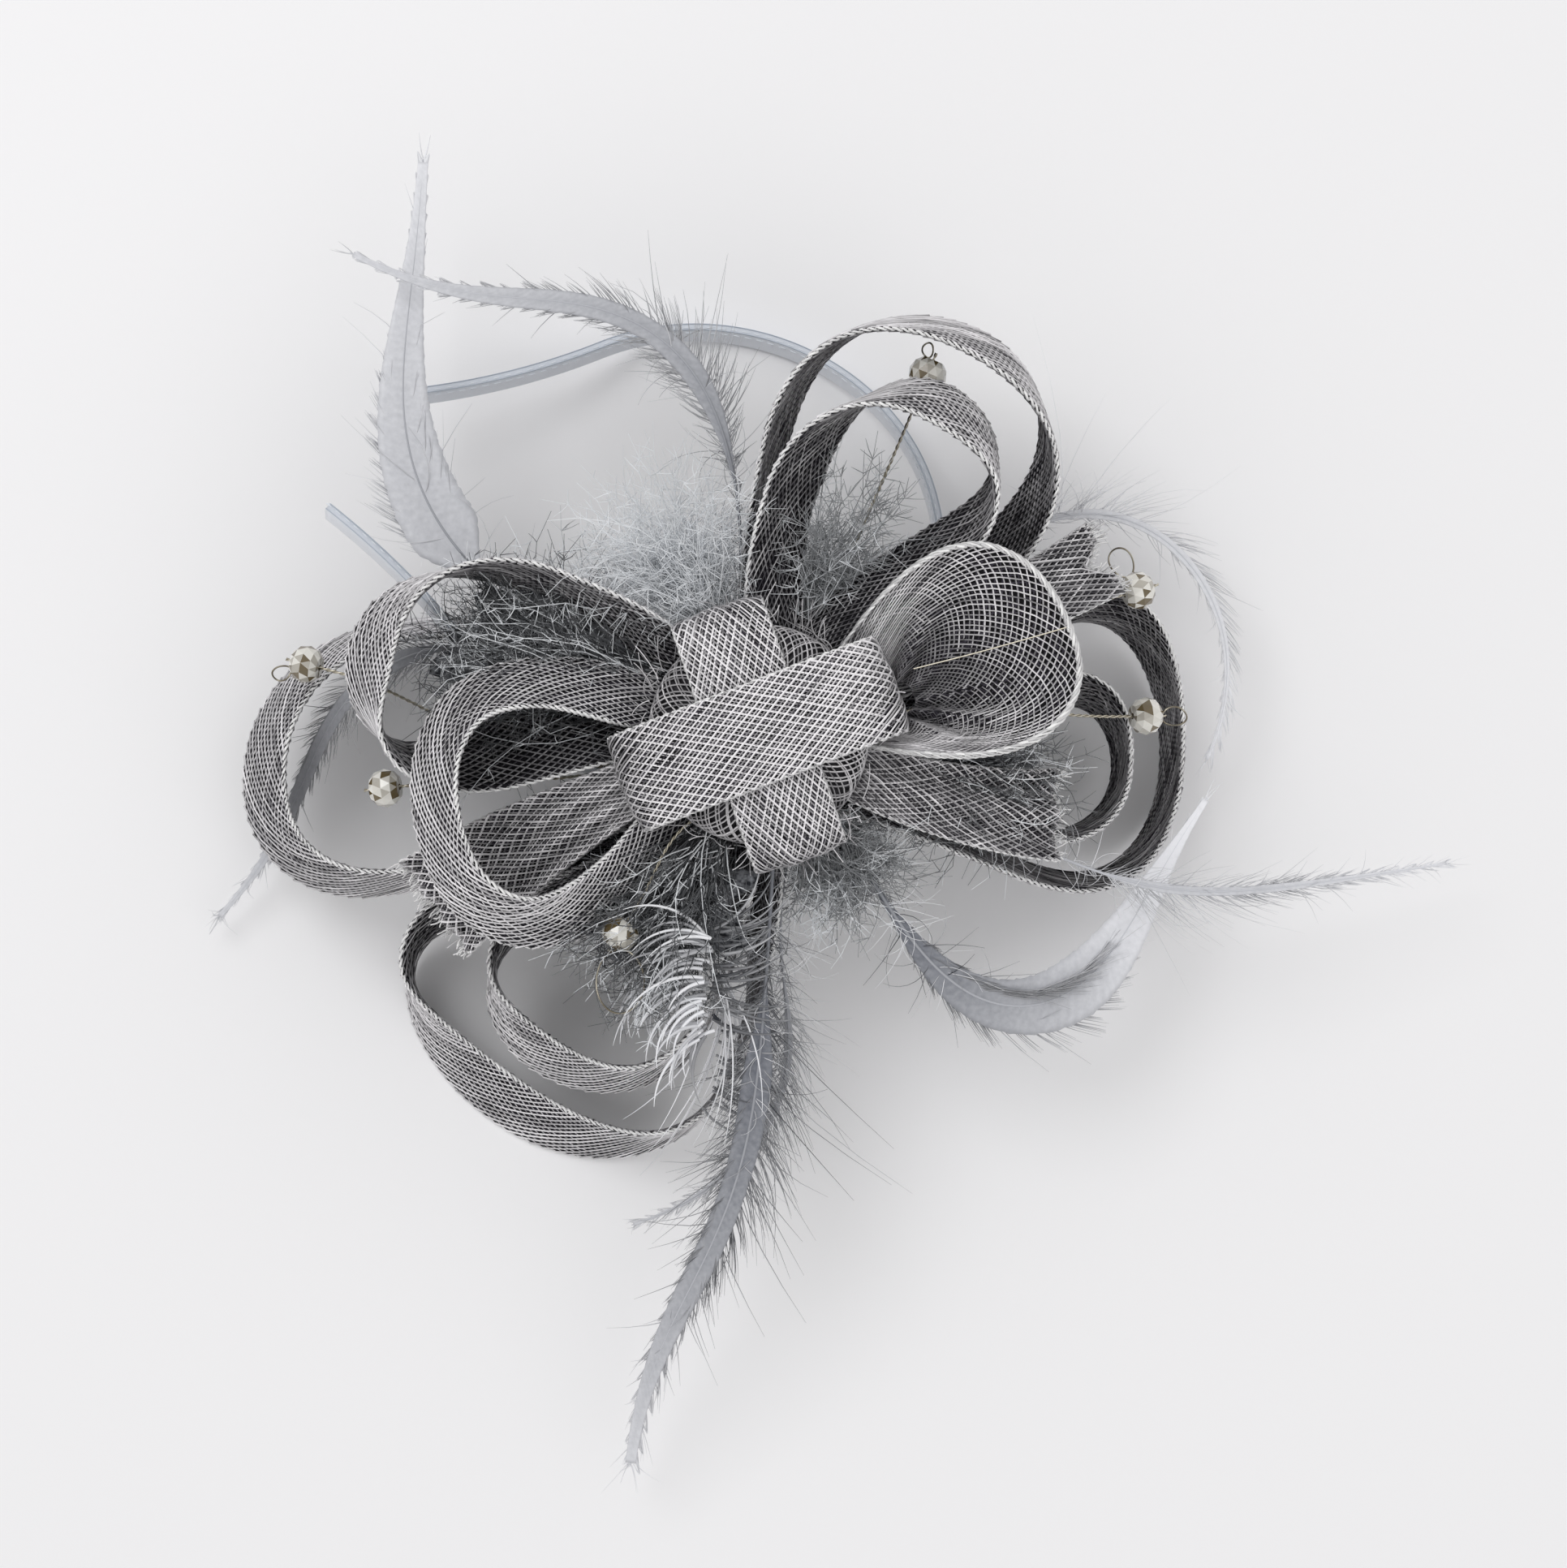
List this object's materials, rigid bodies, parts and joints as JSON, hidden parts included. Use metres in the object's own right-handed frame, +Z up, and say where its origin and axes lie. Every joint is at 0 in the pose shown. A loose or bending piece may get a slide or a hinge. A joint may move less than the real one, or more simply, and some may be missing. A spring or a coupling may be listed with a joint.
{
  "type": "fascinator",
  "caption": "Fascinator of looped open net ribbon with feathers, down and crystal beads on a slim satin headband.",
  "frame": {"origin": "middle of the part's outline on the surface that it lies on, at its lowest point", "axes": "+Z up from the surface that it lies on, +Y along its longest way, up the picture, +X to the right of the picture"},
  "size_m": [0.2698, 0.282, 0.0852],
  "materials": {
    "satin": "pale blue-grey satin over a band, with a line of stitches",
    "net": "two layers of open silver-grey net ribbon with bound edges",
    "net_light": "open silver-grey net, seen from its light side",
    "vane": "dyed blue-grey feather vane on a pale shaft",
    "down": "soft grey down barbs, dark to white",
    "crystal": "faceted clear to champagne crystal",
    "wire": "fine silver-gold wire"
  },
  "bodies": {
    "root": {"headband": "satin", "gathered_core": "net", "wrap_cross": "net_light", "wrap_top": "net_light", "net_cup": "net_light", "loop_upper_left": "net", "loop_mid_left": "net", "loop_far_left": "net", "loop_low_left_outer": "net", "loop_low_left_inner": "net", "loop_top_outer": "net", "loop_top_inner": "net", "loop_right_outer": "net", "loop_right_inner": "net", "tail_pleated": "net_light", "tail_notched": "net_light", "tail_under": "net_light", "feather_blade_up": "vane", "feather_sweep_up": "vane", "feather_arch_right": "vane", "feather_hook_low": "vane", "feather_point_right": "vane", "feather_plume_down": "vane", "feather_spray_down": "vane", "feather_left_down": "vane", "tuft_upper_left": "down", "tuft_sparse_left": "down", "tuft_white_up": "down", "tuft_top": "down", "tuft_right": "down", "tuft_low_right": "down", "tuft_low_left": "down", "wire_left_far": "wire", "bead_left_far": "crystal", "wire_left_near": "wire", "bead_left_near": "crystal", "wire_low_left": "wire", "bead_low_left": "crystal", "wire_top": "wire", "bead_top": "crystal", "wire_right_upper": "wire", "bead_right_upper": "crystal", "wire_right": "wire", "bead_right": "crystal"}
  },
  "joints": []
}
